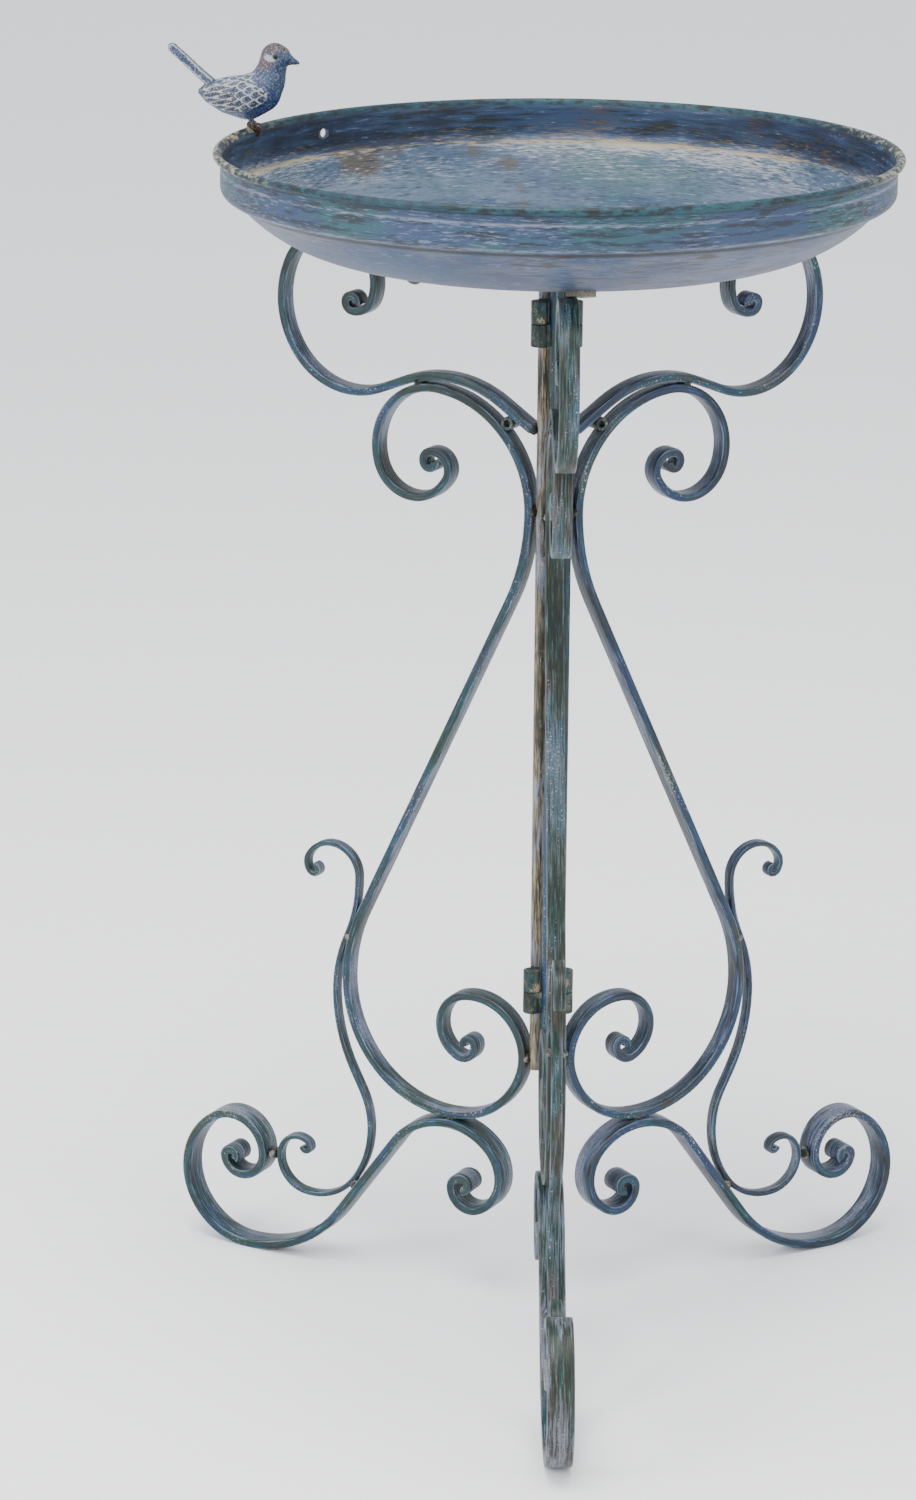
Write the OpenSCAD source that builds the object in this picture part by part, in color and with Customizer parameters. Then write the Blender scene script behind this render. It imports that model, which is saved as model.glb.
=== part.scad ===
// Folding scroll-stand bird bath: three hinged wrought-iron panels, a lift-off
// spun dish and a small cast bird on its rim.
// Millimetres, +Z up. The origin is on the ground, under the middle of the
// whole bath's bounding box; the stand's axis lies a little behind it.

/* [Stand] */
// Height of the stand, from the ground to the top of the scrolls under the dish
stand_height = 630; // [500:1:790]
// Distance from the stand's axis to the centre of each upright rod
upright_offset = 7.2; // [7:0.1:12]
// Radius of the upright rods
upright_r = 3.75; // [3:0.05:5]
// Height of the cut lower end of the upright rods
upright_foot = 150; // [120:1:170]
// Gap between welded bars, which the weld beads bridge
weld_gap = 0.4; // [0.2:0.1:1]

/* [Bars] */
// Thickness of the dish scroll and middle scroll bars
bar_t = 5; // [3:0.1:7]
// Width of the dish scroll and middle scroll bars
bar_w = 10.5; // [8:0.5:14]
// Thickness of the foot scroll bar
foot_t = 5.2; // [3:0.1:7]
// Width of the foot scroll bar
foot_w = 15; // [10:0.5:16]
// Thickness of the tendril bar
tendril_t = 3.2; // [2:0.1:4]
// Width of the tendril bar
tendril_w = 6.6; // [4:0.1:10]
// Radius of the weld beads
bead_r = 3.5; // [3.2:0.1:4]
// Length of the weld beads across the bars
bead_l = 11; // [9:0.5:12]
// Place of the spacer tube along the neck of the middle scroll
spacer_share = 0.52; // [0.48:0.01:0.62]

/* [Hinges] */
// Distance from each panel's middle plane to its hinge pins
hinge_offset = 9.4; // [9.4:0.1:12]
// Outer radius of the hinge knuckles
knuckle_r = 4.9; // [4:0.1:5]
// Height of one knuckle
knuckle_h = 12.5; // [8:0.5:20]
// Radius of the hinge pins
pin_r = 2; // [1.5:0.1:2.5]
// Radial running clearance of the pin in the side panel's knuckle
pin_play = 0.05; // [0.02:0.01:0.1]
// Gap between the two knuckles of a hinge
knuckle_gap = 0.4; // [0.3:0.1:1]
// Height of the middle of the lower hinges
lower_hinge_z = 201; // [180:1:260]
// Distance of the middle of the upper hinges below the top of the stand
upper_hinge_drop = 40; // [36:1:60]
// Thickness of the webs that join the knuckles to the upright rods
web_t = 4; // [3:0.5:6]

/* [Dish] */
// Outside diameter of the dish over its rolled lip
dish_d = 376.6; // [330:1:460]
// Depth of the dish, from the lip's top to the middle of its underside
dish_depth = 65; // [60:1:84]
// Thickness of the sheet
sheet_t = 1.4; // [1:0.1:2]
// Radius of the rolled lip
lip_r = 2.3; // [2:0.1:3]
// Height of the upright band below the lip
band_h = 17; // [12:0.5:20]
// Radius of the flat middle of the dish
flat_r = 25; // [20:1:40]
// Slope at which the bowl's shoulder ends, in degrees
shoulder_slope = 50; // [45:1:60]
// Radius of the shoulder bend
shoulder_r = 85; // [70:1:90]
// Rest gap between the pads and the scrolls that carry them
pad_gap = 0.3; // [0.3:0.1:1]
// Radius of the pads under the dish
pad_r = 8; // [6:0.5:10]
// Thickness of the pads at their middle
pad_t = 2.8; // [2.5:0.1:6]
// Radius of the pad screws' shanks
screw_r = 1.4; // [1:0.1:2]
// Radius of the pad screws' heads
screw_head_r = 3; // [2.5:0.1:4]
// Height of the pad screws' heads
screw_head_h = 1.3; // [1:0.1:2]
// How far the dish stands turned on the stand
dish_turn = 3; // [0:0.5:10]
// Radius of the small hole in the dish's band
hole_r = 2.5; // [1.5:0.1:4]
// Depth of that hole's middle below the lip's top
hole_drop = 12; // [10:0.5:14]
// Direction of the hole in the band
hole_azimuth = 135; // [110:1:145]
// Direction of the domed stud under the dish
stud_azimuth = 224; // [180:1:300]
// Reach of the domed stud from the dish's middle
stud_reach = 110; // [60:1:112]

/* [Bird] */
// Direction of the bird from the dish's middle
bird_azimuth = 155; // [150:1:175]
// Length of the bird from beak to tail
bird_length = 73; // [60:1:76]
// Turn of the bird's heading from the +X direction
bird_turn = 0; // [-20:1:20]

/* [Hidden] */
$fn = 48;
// Sweep of one chord along a bent bar, in degrees
bend_step = 9;
// The scrolls are drawn for this height and scaled from it
drawn_height = 630;
k = stand_height / drawn_height;
SIDES = ["front", "left", "right"];
AZIMUTH = [270, 150, 30];
LEVELS = ["lower", "upper"];
HINGE_SIDES = ["left", "right"];
HINGE_AZIMUTH = [210, 330];

// ---- Bent-bar geometry -------------------------------------------------
// A path starts at a point and a heading, then follows pieces that are
// [radius, sweep] for an arc, with left turns positive, or [0, length].
function arc_count(sweep) = max(2, ceil(abs(sweep) / bend_step));
function turn_side(sweep) = sweep < 0 ? -1 : 1;
function arc_centre(p, h, r, s) = p + r * turn_side(s) * [-sin(h), cos(h)];
function arc_point(p, h, r, s, f) =
    arc_centre(p, h, r, s)
    - r * turn_side(s) * [-sin(h + s * f), cos(h + s * f)];
function piece_points(p, h, piece) =
    piece[0] == 0
        ? [[p + piece[1] * [cos(h), sin(h)], h]]
        : let (n = arc_count(piece[1]))
          [for (i = [1:n]) [arc_point(p, h, piece[0], piece[1], i / n), h + piece[1] * i / n]];
function bend(p, h, pieces, i = 0) =
    i >= len(pieces)
        ? []
        : let (made = piece_points(p, h, pieces[i]), last = made[len(made) - 1])
          concat(made, bend(last[0], last[1], pieces, i + 1));
// Pieces scaled from the drawn height
function grown(pieces) =
    [for (q = pieces) q[0] == 0 ? [0, q[1] * k] : [q[0] * k, q[1]]];
// The whole bar: one run backwards from the start, and one run forwards
function bar_path(p, h, back, ahead) =
    let (b = bend(p, h + 180, grown(back)), n = len(b))
    concat([for (i = [n - 1:-1:0]) [b[i][0], b[i][1] + 180]], [[p, h]], bend(p, h, grown(ahead)));
function edge(path, t, side) =
    [for (q = path) q[0] + side * t / 2 * [-sin(q[1]), cos(q[1])]];
function reversed(v) = [for (i = [len(v) - 1:-1:0]) v[i]];
function ribbon(path, t) = concat(edge(path, t, 1), reversed(edge(path, t, -1)));
function heights(path) = [for (q = path) q[0][1]];
function reaches(path) = [for (q = path) q[0][0]];
function moved(path, v) = [for (q = path) [q[0] + v, q[1]]];
// A path's points with its long chords divided
function dense(path) =
    [for (i = [1:len(path) - 1], f = [0:0.1:0.9])
        [path[i - 1][0] + f * (path[i][0] - path[i - 1][0]), path[i][1]]];
// Middle of the narrowest gap between two paths
function gaps(a, b) = [for (p = a, q = b) [norm(p[0] - q[0]), (p[0] + q[0]) / 2]];
function narrowest(a, b) =
    let (g = gaps(a, b), least = min([for (x = g) x[0]]))
    [for (x = g) if (x[0] == least) x[1]][0];
function nearest_axis(path) =
    let (least = min(reaches(path)))
    [for (q = path) if (q[0][0] == least) q[0]][0];
function last_of(v) = v[len(v) - 1];

// ---- The scrolls of one panel, as [reach, height] ----------------------
// Foot scroll: outer curl, ground contact, rise, inner curl
foot_out_bends = [[42, 150], [22, 120], [15.5, 90], [11.5, 80], [4.4, 100], [3.7, 130]];
foot_in_bends = [
    [80, -54], [0, 66], [44, 54], [38, 45], [26, 45], [23, 70], [12.5, 110], [6.5, 110], [3.8, 170]
];
foot_start = [201 * k, foot_t / 2];
foot_path = bar_path(foot_start, 180, foot_out_bends, foot_in_bends);
foot_top_z = max(heights(bend(foot_start, 180, grown(foot_in_bends))));
foot_reach = max(reaches(foot_path)) + foot_t / 2;

// Middle scroll: drawn from the widest point of its belly, then set on the
// foot scroll and against the upright
belly_r = 96;
belly_sweep = 25.5;
middle_down_bends = [[75, -40], [66, -60], [47, -63], [32.5, -117], [20, -145], [8, -120], [3.7, -190]];
middle_up_bends = [
    [belly_r, belly_sweep], [0, 224], [122, -26], [64.5, -84], [36.5, -112], [24, -135], [10, -130],
    [5, -110], [3.7, -150]
];
middle_drawn = bar_path([0, 0], 90, middle_down_bends, middle_up_bends);
middle_start = [
    upright_offset + upright_r + bar_t / 2 + weld_gap - min(reaches(middle_drawn)),
    foot_top_z + foot_t / 2 + bar_t / 2 + weld_gap - min(heights(middle_drawn))
];
middle_path = moved(middle_drawn, middle_start);

// Dish scroll: from the upright over the middle scroll and up to the dish
dish_scroll_bends = [
    [0, 23.5], [68, -55], [0, 16], [46, 76], [52, 62], [31, 70], [27, 104], [11.5, 80], [5, 80], [3.6, 190]
];
dish_scroll_heading = 33;
dish_scroll_drawn = bar_path([0, 0], dish_scroll_heading, [], dish_scroll_bends);
dish_scroll_start = [
    upright_offset + upright_r + weld_gap + bar_t / 2 * sin(dish_scroll_heading),
    stand_height - bar_t / 2 - max(heights(dish_scroll_drawn))
];
dish_scroll_path = moved(dish_scroll_drawn, dish_scroll_start);

// Tendril: welded to the middle scroll above its belly, with a small curl
// on top and a long loop that ends against the foot scroll
tendril_turn = 15;
tendril_lean = 9;
tendril_seat = arc_point(middle_start, 90, belly_r * k, belly_sweep, tendril_turn / belly_sweep);
tendril_start = tendril_seat
    + ((bar_t + tendril_t) / 2 + weld_gap) * [cos(tendril_turn), sin(tendril_turn)];
tendril_down_bends = [
    [88, -25], [104, -27], [0, 12], [50, 27], [58, 39], [36, 60], [20, 69], [17, 47], [12, 85], [4.5, 60],
    [2.7, 170]
];
tendril_up_bends = [[88, -25], [18, -150], [9, -60], [4.5, -70], [2.7, -170]];
tendril_heading = 90 + tendril_turn + tendril_lean;
tendril_path = bar_path(tendril_start, tendril_heading, tendril_down_bends, tendril_up_bends);

// Spacer: a short tube in the wedge between the end of the dish scroll and
// the neck of the middle scroll, as thick as fits there
neck_start = last_of(bend(middle_start, 90, grown([for (i = [0:2]) middle_up_bends[i]])));
neck_bend = grown([middle_up_bends[3]])[0];
neck_at = arc_point(neck_start[0], neck_start[1], neck_bend[0], neck_bend[1], spacer_share);
neck_heading = neck_start[1] + neck_bend[1] * spacer_share;
neck_normal = [-sin(neck_heading), cos(neck_heading)];
scroll_under = [sin(dish_scroll_heading), -cos(dish_scroll_heading)];
neck_depth = (neck_at - dish_scroll_start) * scroll_under;
spacer_reach = neck_depth / (1 - neck_normal * scroll_under);
spacer_play = 0.05;
spacer_r = spacer_reach - bar_t / 2 - spacer_play;
spacer_at = neck_at + spacer_reach * neck_normal;

// Weld beads of one panel, as [reach, height]
foot_out_part = bend(foot_start, 0, grown(foot_out_bends));
foot_in_part = bend(foot_start, 180, grown(foot_in_bends));
middle_down_part = bend(middle_start, 270, grown(middle_down_bends));
middle_up_part = bend(middle_start, 90, grown(middle_up_bends));
tendril_down_part = bend(tendril_start, tendril_heading + 180, grown(tendril_down_bends));
upright_face = upright_offset + upright_r;
BEADS = [
    [(upright_face + dish_scroll_start[0]) / 2, dish_scroll_start[1]],
    narrowest(dish_scroll_path, dense(middle_up_part)),
    [upright_face, nearest_axis(middle_up_part)[1]],
    [upright_face, nearest_axis(middle_down_part)[1]],
    (tendril_seat + tendril_start) / 2,
    narrowest(tendril_down_part, dense(foot_in_part)),
    narrowest(tendril_down_part, foot_out_part),
    narrowest(middle_down_part, foot_in_part)
];

// ---- Hinge places --------------------------------------------------------
hinge_reach = hinge_offset / sin(60);
upper_hinge_z = stand_height - upper_hinge_drop;
HINGE_Z = [lower_hinge_z, upper_hinge_z];
function hinge_point(i) = hinge_reach * [cos(HINGE_AZIMUTH[i]), sin(HINGE_AZIMUTH[i])];
function upright_point(i) = upright_offset * [cos(AZIMUTH[i]), sin(AZIMUTH[i])];

// ---- The dish's section --------------------------------------------------
lip_centre_r = dish_d / 2 - lip_r;
band_r = dish_d / 2 - 2 * lip_r;
crease_r = 1.5;
crease_slope = 5;
ledge = 2;
corner_r = 5;
ledge_reach = crease_r * (sin(shoulder_slope) - sin(crease_slope)) + ledge * cos(crease_slope)
    + corner_r * (1 - sin(crease_slope));
ledge_rise = crease_r * (cos(crease_slope) - cos(shoulder_slope)) + ledge * sin(crease_slope)
    + corner_r * cos(crease_slope);
bowl_rise = dish_depth - sheet_t / 2 - ledge_rise - band_h - lip_r;
bowl_slope = 2 * atan((bowl_rise - shoulder_r * (1 - cos(shoulder_slope)))
    / (band_r - ledge_reach - flat_r - shoulder_r * sin(shoulder_slope)));
bowl_r = shoulder_r
    + (band_r - ledge_reach - flat_r - shoulder_r * sin(shoulder_slope)) / sin(bowl_slope);

// The pads lie where the bowl's slope matches the scroll that carries them
top_start = last_of(bend(dish_scroll_start, dish_scroll_heading, grown([for (i = [0:5]) dish_scroll_bends[i]])));
top_r = dish_scroll_bends[6][0] * k;
top_x = arc_centre(top_start[0], top_start[1], top_r, 1)[0];
shoulder_x = flat_r + (bowl_r - shoulder_r) * sin(bowl_slope);
shoulder_pad_slope = asin((top_x - shoulder_x) / (shoulder_r + sheet_t / 2 + pad_t + top_r + bar_t / 2));
bowl_pad_slope = asin((top_x - flat_r) / (bowl_r + sheet_t / 2 + pad_t + top_r + bar_t / 2));
on_bowl = bowl_pad_slope < bowl_slope;
pad_slope = on_bowl ? bowl_pad_slope : shoulder_pad_slope;
seat_r = on_bowl ? bowl_r : shoulder_r;
seat_x = on_bowl ? flat_r : shoulder_x;
support = max([for (p = ribbon(dish_scroll_path, bar_t)) p[1] * cos(pad_slope) - p[0] * sin(pad_slope)]);
seat_z = (support + pad_gap + pad_t + sheet_t / 2 + seat_r + seat_x * sin(pad_slope)) / cos(pad_slope);
bowl_centre_z = seat_z + (on_bowl ? 0 : (bowl_r - shoulder_r) * cos(bowl_slope));
// Height of the middle of the sheet at the dish's flat floor
floor_z = bowl_centre_z - bowl_r;
lip_top_z = floor_z - sheet_t / 2 + dish_depth;
dish_path = concat([[[0, floor_z], 0]], bend([0, floor_z], 0, [
    [0, flat_r], [bowl_r, bowl_slope], [shoulder_r, shoulder_slope - bowl_slope],
    [crease_r, crease_slope - shoulder_slope], [0, ledge], [corner_r, 90 - crease_slope], [0, band_h]
]));
upright_top = floor_z - 8;

// The stand's axis, so that the bounding box is centred on the origin
axis_y = (foot_reach - dish_d / 2) / 2;

// ---- Sub-parts -----------------------------------------------------------

// The bird, in its own millimetres from where it stands on the lip:
// [place, height, radius]
BIRD_BODY = [[-23, 18.3, 6], [-13, 16.8, 10.4], [-3, 15.8, 12.8], [5, 19, 11.6], [10.8, 31.5, 8.2],
    [12.6, 38.3, 8.2], [18.4, 37.4, 4], [25.6, 35, 1]];
BIRD_TAIL_ROOT = [-21, 22, 3.6];
BIRD_TAIL_TIP = [-44.2, 43.2, 2];
bird_drawn_length = 73;
BIRD_FOOT = [-0.5, 3.2];

iron_blue = [0.13, 0.27, 0.33];
iron_teal = [0.12, 0.33, 0.36];
dish_blue = [0.33, 0.42, 0.53];
bead_brown = [0.32, 0.25, 0.16];
pin_dark = [0.16, 0.18, 0.18];
pad_cream = [0.75, 0.70, 0.58];
bird_blue = [0.36, 0.42, 0.50];

// Puts a shape on the stand's axis
module on_axis() {
    translate([0, axis_y, 0]) children();
}

// Turns a shape drawn in the XZ plane into one of the three panels
module in_panel(i) {
    on_axis() rotate([0, 0, AZIMUTH[i]]) children();
}

// A flat bar bent on its edge along a path
module bent_bar(path, t, w) {
    rotate([90, 0, 0]) translate([0, 0, -w / 2]) linear_extrude(w) polygon(ribbon(path, t));
}

module upright(i) {
    color(iron_blue) in_panel(i) translate([upright_offset, 0, upright_foot])
        cylinder(r = upright_r, h = upright_top - upright_foot);
}

module dish_scroll(i) {
    color(iron_teal) in_panel(i) bent_bar(dish_scroll_path, bar_t, bar_w);
}

module middle_scroll(i) {
    color(iron_teal) in_panel(i) bent_bar(middle_path, bar_t, bar_w);
}

module foot_scroll(i) {
    color(iron_blue) in_panel(i) bent_bar(foot_path, foot_t, foot_w);
}

module tendril(i) {
    color(iron_teal) in_panel(i) bent_bar(tendril_path, tendril_t, tendril_w);
}

// Short tube that keeps the dish scroll off the middle scroll's neck
module spacer(i) {
    color(pin_dark) in_panel(i) translate([spacer_at[0], 0, spacer_at[1]]) rotate([90, 0, 0])
        difference() {
            cylinder(r = spacer_r, h = bar_w, center = true);
            cylinder(r = spacer_r / 2, h = bar_w + 1, center = true);
        }
}

module weld_beads(i) {
    color(bead_brown) in_panel(i)
        for (b = BEADS) translate([b[0], 0, b[1]]) {
            rotate([90, 0, 0]) cylinder(r = bead_r, h = bead_l - 2 * bead_r, center = true);
            for (side = [-1, 1]) translate([0, side * (bead_l / 2 - bead_r), 0]) sphere(r = bead_r);
        }
}

// One knuckle with the web that joins it to a panel's upright
module knuckle(hinge, panel, z, bore_r) {
    h = hinge_point(hinge);
    u = upright_point(panel);
    d = u - h;
    web_start = (pin_r + knuckle_r) / 2;
    color(iron_blue) on_axis() difference() {
        union() {
            translate([h[0], h[1], z]) cylinder(r = knuckle_r, h = knuckle_h);
            translate([h[0], h[1], z]) rotate([0, 0, atan2(d[1], d[0])])
                translate([web_start, -web_t / 2, 0]) cube([norm(d) - web_start, web_t, knuckle_h]);
        }
        translate([h[0], h[1], z - 1]) cylinder(r = bore_r, h = knuckle_h + 2);
        translate([u[0], u[1], z - 1]) cylinder(r = upright_r, h = knuckle_h + 2);
    }
}

// The front panel's knuckle is below, the side panel's above
module fixed_knuckle(side, level) {
    knuckle(side, 0, HINGE_Z[level] - knuckle_gap / 2 - knuckle_h, pin_r);
}

module swing_knuckle(side, level) {
    knuckle(side, side + 1, HINGE_Z[level] + knuckle_gap / 2, pin_r + pin_play);
}

module hinge_pin(side, level) {
    h = hinge_point(side);
    color(pin_dark) on_axis()
        translate([h[0], h[1], HINGE_Z[level] - knuckle_gap / 2 - knuckle_h])
            cylinder(r = pin_r, h = 2 * knuckle_h + knuckle_gap);
}

// A place on the middle of the sheet above a pad, pointing out through the pad
module at_pad(i) {
    on_axis() rotate([0, 0, AZIMUTH[i] + dish_turn]) translate([seat_x, 0, seat_z])
        rotate([0, 180 - pad_slope, 0]) translate([0, 0, seat_r]) children();
}

// Everything above the dish's underside, to trim what sits against it
module above_dish() {
    on_axis() rotate_extrude() polygon(concat(edge(dish_path, sheet_t, -1), [[0, lip_top_z]]));
}

module dish() {
    color(dish_blue) difference() {
        union() {
            on_axis() rotate_extrude() polygon(ribbon(dish_path, sheet_t));
            on_axis() rotate_extrude() translate([lip_centre_r, lip_top_z - lip_r]) circle(r = lip_r);
        }
        for (i = [0:2]) at_pad(i) cylinder(r = screw_r, h = 6 * sheet_t, center = true);
        on_axis() rotate([0, 0, hole_azimuth]) translate([band_r, 0, lip_top_z - hole_drop])
            rotate([0, 90, 0]) cylinder(r = hole_r, h = 6 * sheet_t, center = true);
    }
}

module dish_pads() {
    color(pad_cream) for (i = [0:2]) difference() {
        at_pad(i) translate([0, 0, -sheet_t]) cylinder(r = pad_r, h = 1.5 * sheet_t + pad_t);
        above_dish();
        at_pad(i) cylinder(r = screw_r, h = 2 * sheet_t + pad_t);
    }
}

module pad_screws() {
    head_seat = -sheet_t / 2 - 0.08;
    color(pin_dark) for (i = [0:2]) at_pad(i) {
        translate([0, 0, head_seat - 0.01]) cylinder(r = screw_r, h = sheet_t + pad_t - 0.5);
        translate([0, 0, head_seat - screw_head_h])
            cylinder(r1 = 0.6 * screw_head_r, r2 = screw_head_r, h = screw_head_h);
    }
}

// Domed stud under the dish, between the front and the left panel
module underside_stud() {
    slope = asin((stud_reach - flat_r) / bowl_r);
    dome_r = 4.9;
    dome_rise = 1.5;
    centre_r = bowl_r - dome_rise;
    color(iron_blue) difference() {
        on_axis() rotate([0, 0, stud_azimuth])
            translate([flat_r + centre_r * sin(slope), 0, bowl_centre_z - centre_r * cos(slope)])
            sphere(r = dome_r);
        above_dish();
    }
}

// Places the bird on the lip, facing across the dish
module on_lip() {
    on_axis() translate([lip_centre_r * cos(bird_azimuth), lip_centre_r * sin(bird_azimuth), lip_top_z])
        rotate([0, 0, bird_turn]) scale(bird_length / bird_drawn_length) children();
}

// One ball of the bird's body: place along the bird, height and radius
module bird_ball(b) {
    translate([b[0], 0, b[1]]) sphere(r = b[2], $fn = 28);
}

module bird() {
    color(bird_blue) on_lip() {
        for (i = [1:len(BIRD_BODY) - 1]) hull() {
            bird_ball(BIRD_BODY[i - 1]);
            bird_ball(BIRD_BODY[i]);
        }
        hull() {
            bird_ball(BIRD_TAIL_ROOT);
            translate([BIRD_TAIL_TIP[0], 0, BIRD_TAIL_TIP[1]]) rotate([0, 45, 0])
                cube([2 * BIRD_TAIL_TIP[2], 9, 3.6], center = true);
        }
        for (side = [-1, 1]) translate([BIRD_FOOT[0], side * BIRD_FOOT[1], -0.6]) cylinder(r = 1.7, h = 8);
    }
}

// Lump that welds the bird's feet to the lip and to the band inside it
module bird_weld() {
    foot_weld_r = 2.6;
    band_weld_r = 3.2;
    color(bead_brown) on_lip() hull() {
        for (side = [-1, 1]) translate([BIRD_FOOT[0], side * BIRD_FOOT[1], 0]) sphere(r = foot_weld_r, $fn = 28);
        translate([1.6, -0.6, -2.6]) sphere(r = band_weld_r, $fn = 28);
    }
}

// ---- Which node is drawn ---------------------------------------------------
for (i = [0:2]) {
    upright(i);
    dish_scroll(i);
    middle_scroll(i);
    foot_scroll(i);
    tendril(i);
    spacer(i);
    weld_beads(i);
}
for (s = [0:1], v = [0:1]) {
    place = str(HINGE_SIDES[s], "_", LEVELS[v]);
    fixed_knuckle(s, v);
    swing_knuckle(s, v);
    hinge_pin(s, v);
}
dish();
dish_pads();
pad_screws();
underside_stud();
bird();
bird_weld();
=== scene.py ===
import math

import bmesh
import bpy
import numpy as np
from mathutils import Matrix, Vector, noise


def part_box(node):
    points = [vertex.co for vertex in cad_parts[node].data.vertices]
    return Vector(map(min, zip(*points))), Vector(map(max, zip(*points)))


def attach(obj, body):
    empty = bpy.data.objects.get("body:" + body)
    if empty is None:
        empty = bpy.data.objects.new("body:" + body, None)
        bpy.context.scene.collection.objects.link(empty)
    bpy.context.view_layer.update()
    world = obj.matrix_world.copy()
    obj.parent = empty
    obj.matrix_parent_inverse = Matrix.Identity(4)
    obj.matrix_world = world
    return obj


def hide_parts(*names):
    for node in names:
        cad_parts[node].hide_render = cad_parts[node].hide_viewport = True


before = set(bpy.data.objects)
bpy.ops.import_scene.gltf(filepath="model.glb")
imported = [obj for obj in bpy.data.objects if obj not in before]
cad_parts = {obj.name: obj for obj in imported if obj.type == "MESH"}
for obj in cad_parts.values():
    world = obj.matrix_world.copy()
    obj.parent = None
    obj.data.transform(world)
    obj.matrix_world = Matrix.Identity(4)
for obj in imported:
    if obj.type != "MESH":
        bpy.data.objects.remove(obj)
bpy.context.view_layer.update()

MM = 0.001
PANELS = {"front": 270.0, "left": 150.0, "right": 30.0}
LEVELS = ("lower", "upper")


# ---- Node trees ------------------------------------------------------------
class Value:
    """A node's output that ordinary arithmetic works on."""

    def __init__(self, net, socket):
        self.net, self.socket = net, socket

    def maths(self, operation, *terms):
        return self.net.node("ShaderNodeMath", {"operation": operation}, dict(enumerate(terms)))

    def __add__(self, other):
        return self.maths("ADD", self, other)

    __radd__ = __add__

    def __mul__(self, other):
        return self.maths("MULTIPLY", self, other)

    __rmul__ = __mul__

    def __sub__(self, other):
        return self.maths("SUBTRACT", self, other)

    def __rsub__(self, other):
        return self.maths("SUBTRACT", other, self)

    def __truediv__(self, other):
        return self.maths("DIVIDE", self, other)

    def __abs__(self):
        return self.maths("ABSOLUTE", self)

    def most(self, other):
        return self.maths("MAXIMUM", self, other)

    def step(self, low, high):
        """Rises smoothly from 0 at low to 1 at high, or falls where low is above high."""
        up = low < high
        ends = {1: min(low, high), 2: max(low, high), 3: 0.0 if up else 1.0, 4: 1.0 if up else 0.0}
        return self.net.node("ShaderNodeMapRange", {"interpolation_type": "SMOOTHSTEP"},
                             {0: self, **ends})

    def near(self, middle, reach):
        """1 at the middle, falling to 0 at reach either side."""
        return abs(self - middle).step(reach, 0.0)


class Net:
    """A node tree while it is wired."""

    def __init__(self, tree):
        self.tree = tree

    def node(self, kind, settings=None, sockets=None, out=0):
        made = self.tree.nodes.new(kind)
        for name, setting in (settings or {}).items():
            setattr(made, name, setting)
        for key, given in (sockets or {}).items():
            if isinstance(given, Value):
                self.tree.links.new(given.socket, made.inputs[key])
            else:
                made.inputs[key].default_value = given
        return Value(self, made.outputs[out]) if len(made.outputs) else None

    def parts(self, vector):
        """The three numbers of a vector."""
        return [self.node("ShaderNodeSeparateXYZ", None, {0: vector}, i) for i in range(3)]

    def vector(self, x, y, z):
        return self.node("ShaderNodeCombineXYZ", None, {0: x, 1: y, 2: z})

    def grain(self, at, scale, detail=4.0, rough=0.6, bend=0.0):
        """Cloudy noise from 0 to 1 about one half."""
        return self.node("ShaderNodeTexNoise", None, {
            "Vector": at, "Scale": scale, "Detail": detail, "Roughness": rough, "Distortion": bend})

    def stretch(self, at, by, shift=(0, 0, 0)):
        return self.node("ShaderNodeMapping", None, {"Vector": at, "Scale": by, "Location": shift})

    def blend(self, under, over, amount):
        """Colour over laid on colour under by an amount from 0 to 1."""
        return self.node("ShaderNodeMix", {"data_type": "RGBA", "clamp_factor": True},
                         {0: amount, 6: under, 7: over}, 2)

    def coats(self, colour, *others):
        """A colour with others laid on it in turn, each given with its amount."""
        for over, amount in others:
            colour = self.blend(colour, over, amount)
        return colour

    def attribute(self, name, out):
        return self.node("ShaderNodeAttribute", {"attribute_name": name}, None, out)

    def place(self):
        """Where a point is on its piece, in metres."""
        return self.node("ShaderNodeTexCoord", None, None, 3)


# Which output of an attribute node is read
VECTOR, FACTOR = 1, 2
# Brightness kept of a colour, and how far it is pushed away from grey
PAINT_DEPTH = 0.42
VIVID = 1.35
# Shine of the paint, and the roughness of its clear coat
SHEEN = 0.28
COAT_ROUGHNESS = 0.25


def tint(red, green, blue):
    """A display colour as the shader takes it, darkened for the bright stage."""
    def linear(level):
        level /= 255
        return level / 12.92 if level <= 0.04045 else ((level + 0.055) / 1.055) ** 2.4
    levels = [linear(level) for level in (red, green, blue)]
    grey = sum(levels) / 3
    return (*(PAINT_DEPTH * max(0.0, grey + (level - grey) * VIVID) for level in levels), 1.0)


def new_finish(name):
    finish = bpy.data.materials.new(name)
    finish.use_nodes = True
    finish.node_tree.nodes.clear()
    return finish, Net(finish.node_tree)


def close_finish(net, colour, roughness, height, depth, metallic=0.0, coat=0.0):
    """Ends a finish: depth is the bump's height in metres."""
    bump = net.node("ShaderNodeBump", None, {"Strength": 1.0, "Distance": depth, "Height": height})
    surface = net.node("ShaderNodeBsdfPrincipled", None, {
        "Base Color": colour, "Roughness": roughness, "Metallic": metallic, "Normal": bump,
        "Specular IOR Level": SHEEN, "Coat Weight": coat, "Coat Roughness": COAT_ROUGHNESS})
    net.node("ShaderNodeOutputMaterial", None, {0: surface})


# ---- Colours ---------------------------------------------------------------
SOOT = tint(34, 42, 40)
OLIVE = tint(78, 72, 58)
RUST = tint(122, 74, 42)
TEAL = tint(44, 86, 96)
TURQUOISE = tint(70, 122, 128)
SEA_GREEN = tint(50, 78, 66)
BLUE = tint(54, 82, 116)
INDIGO = tint(56, 72, 112)
SKY = tint(134, 160, 178)
LILAC = tint(178, 186, 208)
CREAM = tint(214, 200, 172)
CHALK = tint(226, 226, 224)


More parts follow.
